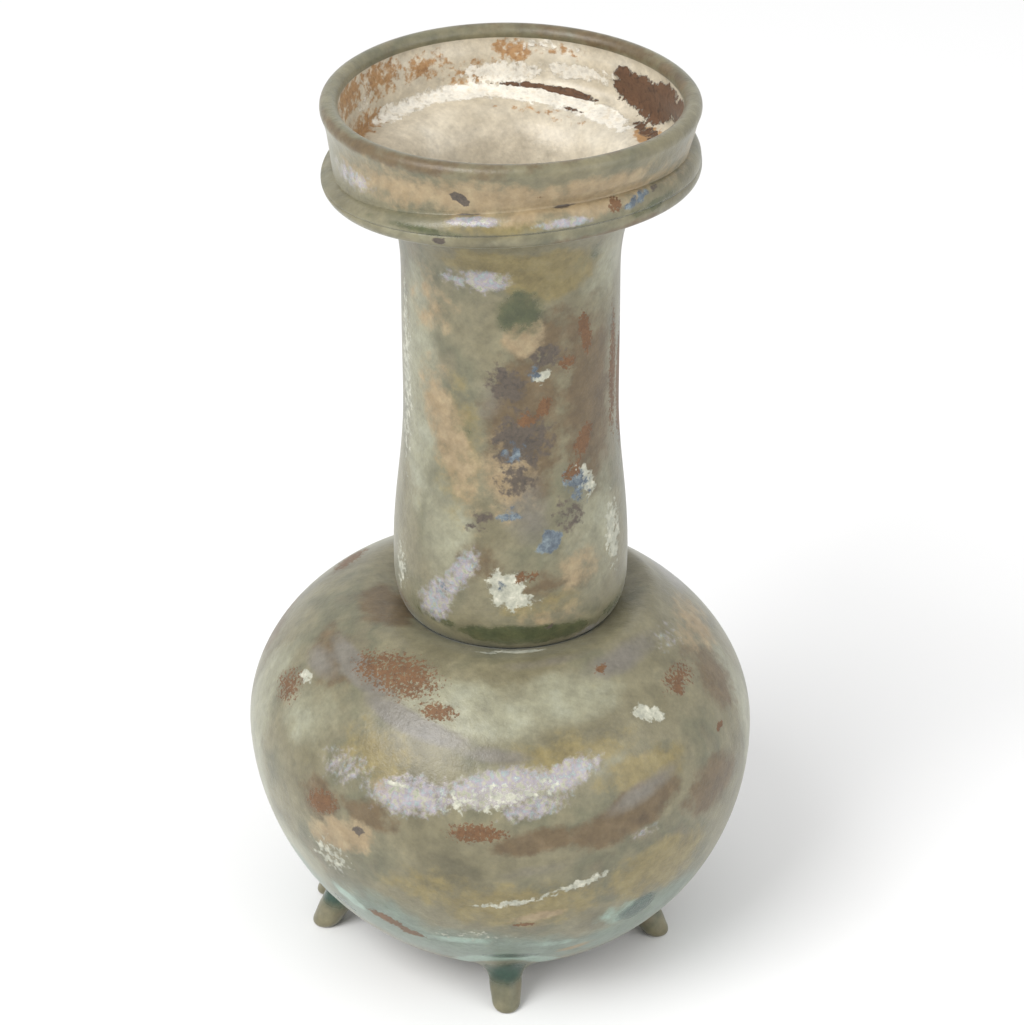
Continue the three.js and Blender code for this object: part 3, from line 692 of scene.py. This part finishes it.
def weathered(material, glass, layers, see_through):
    """Blown soda-lime glass after centuries in the soil: a dull, half see-through skin of olive and brown.
    Under everything is the drawn glass, dulled by etching, in drifting shades. Over it lie the layers, each
    shown where its share plus its torn grain pass a threshold. Mottling and fine streaks, which run the way
    the glass was drawn, darken and lighten the whole, and a weak sheen stands for the dusty edges."""
    material.use_nodes = True
    material.node_tree.nodes.clear()
    metres = add(material, "TexCoord").outputs["Object"]
    place = add(material, "VectorMath", {0: metres, "Scale": 1 / MM}, operation="SCALE").outputs[0]
    drawn = add(material, "Attribute", attribute_name="drawn").outputs["Vector"]

    grains = {}
    for size in GRAINS:
        cloud = {"Vector": place, "Scale": 1 / size, "Detail": 5, "Roughness": 0.62}
        noise = add(material, "TexNoise", cloud)
        spread = add(material, "MapRange", {
            6: noise.outputs["Color"], 7: (NOISE_LOW,) * 3, 8: (NOISE_HIGH,) * 3}, data_type="FLOAT_VECTOR")
        grains[size] = add(material, "SeparateXYZ", {0: spread.outputs[1]}).outputs

    drift = add(material, "TexNoise", {"Vector": place, "Scale": 1 / DRIFT, "Detail": 3, "Roughness": 0.6})
    wide = add(material, "MapRange", {0: drift.outputs[0], 1: 0.3, 2: 0.7}).outputs[0]
    colour = ramp(material, wide, glass)
    rough, height = GLASS_ROUGHNESS, 0.0

    # Some layers also carry painted highlights, painted shade and painted light on the lit side.
    for i, (field, grain, everywhere, ragged, soft, colours, roughness, relief) in enumerate(layers):
        share = add(material, "Attribute", attribute_name=field).outputs["Fac"]
        # The finish covers half the glass where its share is one half, and next to none where it is 0.
        tear = {0: grains[grain][i % 3], 1: ragged, 2: share}
        torn = add(material, "Math", tear, operation="MULTIPLY_ADD").outputs[0]
        middle = 0.5 + 0.5 * ragged - everywhere
        edge = {0: torn, 1: middle - soft, 2: middle + soft}
        mask = add(material, "MapRange", edge, interpolation_type="SMOOTHSTEP").outputs[0]
        shades = ramp(material, grains[grain][(i + 1) % 3], colours)
        colour = add(material, "Mix", {0: mask, 6: colour, 7: shades}, data_type="RGBA").outputs[2]
        rough = add(material, "Mix", {0: mask, 2: rough, 3: roughness}).outputs[0]
        if relief:
            proud = {0: mask, 1: relief, 2: height}
            height = add(material, "Math", proud, operation="MULTIPLY_ADD").outputs[0]

    streaks = add(material, "TexNoise", {"Vector": drawn, "Scale": 1 / STREAK, "Detail": 3}).outputs[0]
    swings = [(grains[size][2], swing) for size, swing in MOTTLING] + [(streaks, STREAK_SWING)]
    brightness = 1.0 - 0.5 * sum(swing for source, swing in swings)
    for source, swing in swings:
        swung = {0: source, 1: swing, 2: brightness}
        brightness = add(material, "Math", swung, operation="MULTIPLY_ADD").outputs[0]
    colour = add(material, "VectorMath", {0: colour, "Scale": brightness}, operation="SCALE").outputs[0]

    for size, swell in UNEVEN_SKIN:
        swollen = {0: grains[size][1], 1: swell, 2: height}
        height = add(material, "Math", swollen, operation="MULTIPLY_ADD").outputs[0]
    normal = add(material, "Bump", {"Height": height, "Distance": MM, "Strength": 1.0}).outputs[0]
    shader = add(material, "BsdfPrincipled", {
        "Base Color": colour, "Roughness": rough, "Normal": normal,
        "IOR": 1.5, "Transmission Weight": see_through,
        "Sheen Weight": 0.25, "Sheen Roughness": 0.4, "Sheen Tint": linear("#d5dbd6")})
    add(material, "OutputMaterial", {"Surface": shader.outputs[0]})


flask = glass_flask()
weather(flask.data)
outside, inside = flask.data.materials
weathered(outside, OUTSIDE_GLASS, OUTSIDE_LAYERS, see_through=0.15)
weathered(inside, INSIDE_GLASS, INSIDE_LAYERS, see_through=0.1)
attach(flask, "root")
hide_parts("glass_flask")


# ---- stage ----

# In metres, degrees and watts. The camera looks down on the flask a little right of its axis.
FLOOR_REACH = 3.0
TARGET = Vector((1.67, 0, 66.8)) * MM
CAMERA_DISTANCE = 501.1 * MM
CAMERA_ELEVATION = math.radians(29.28)
LENS = 126.4
SENSOR = 36
SKY_STRENGTH = 0.9
LIGHTS = (
    ("window light", (-0.5, -0.55, 0.75), 0.6, 9),
    ("fill light", (0.7, -0.5, 0.4), 0.7, 2.5),
)


def stage():
    """A pale floor, soft light from above left and from all round, and the camera."""
    mesh = bpy.data.meshes.new("floor")
    corners = [(x * FLOOR_REACH, y * FLOOR_REACH, 0) for x, y in ((-1, -1), (1, -1), (1, 1), (-1, 1))]
    mesh.from_pydata(corners, [], [(0, 1, 2, 3)])
    floor = bpy.data.objects.new("floor", mesh)
    bpy.context.collection.objects.link(floor)

    world = bpy.data.worlds.new("studio")
    world.use_nodes = True
    background = world.node_tree.nodes["Background"]
    background.inputs["Color"].default_value = (1, 1, 1, 1)
    background.inputs["Strength"].default_value = SKY_STRENGTH
    bpy.context.scene.world = world
    bpy.context.scene.view_settings.view_transform = "Standard"

    camera = bpy.data.cameras.new("camera")
    camera.lens = LENS
    camera.sensor_width = SENSOR
    seen = bpy.data.objects.new("camera", camera)
    back_and_up = Vector((0, -math.cos(CAMERA_ELEVATION), math.sin(CAMERA_ELEVATION)))
    seen.location = TARGET + back_and_up * CAMERA_DISTANCE
    seen.rotation_euler = (math.radians(90) - CAMERA_ELEVATION, 0, 0)
    bpy.context.collection.objects.link(seen)
    bpy.context.scene.camera = seen

    for name, place, size, power in LIGHTS:
        light = bpy.data.lights.new(name, "AREA")
        light.size = size
        light.energy = power
        lamp = bpy.data.objects.new(name, light)
        lamp.location = place
        lamp.rotation_euler = (TARGET - Vector(place)).to_track_quat("-Z", "Y").to_euler()
        bpy.context.collection.objects.link(lamp)


stage()
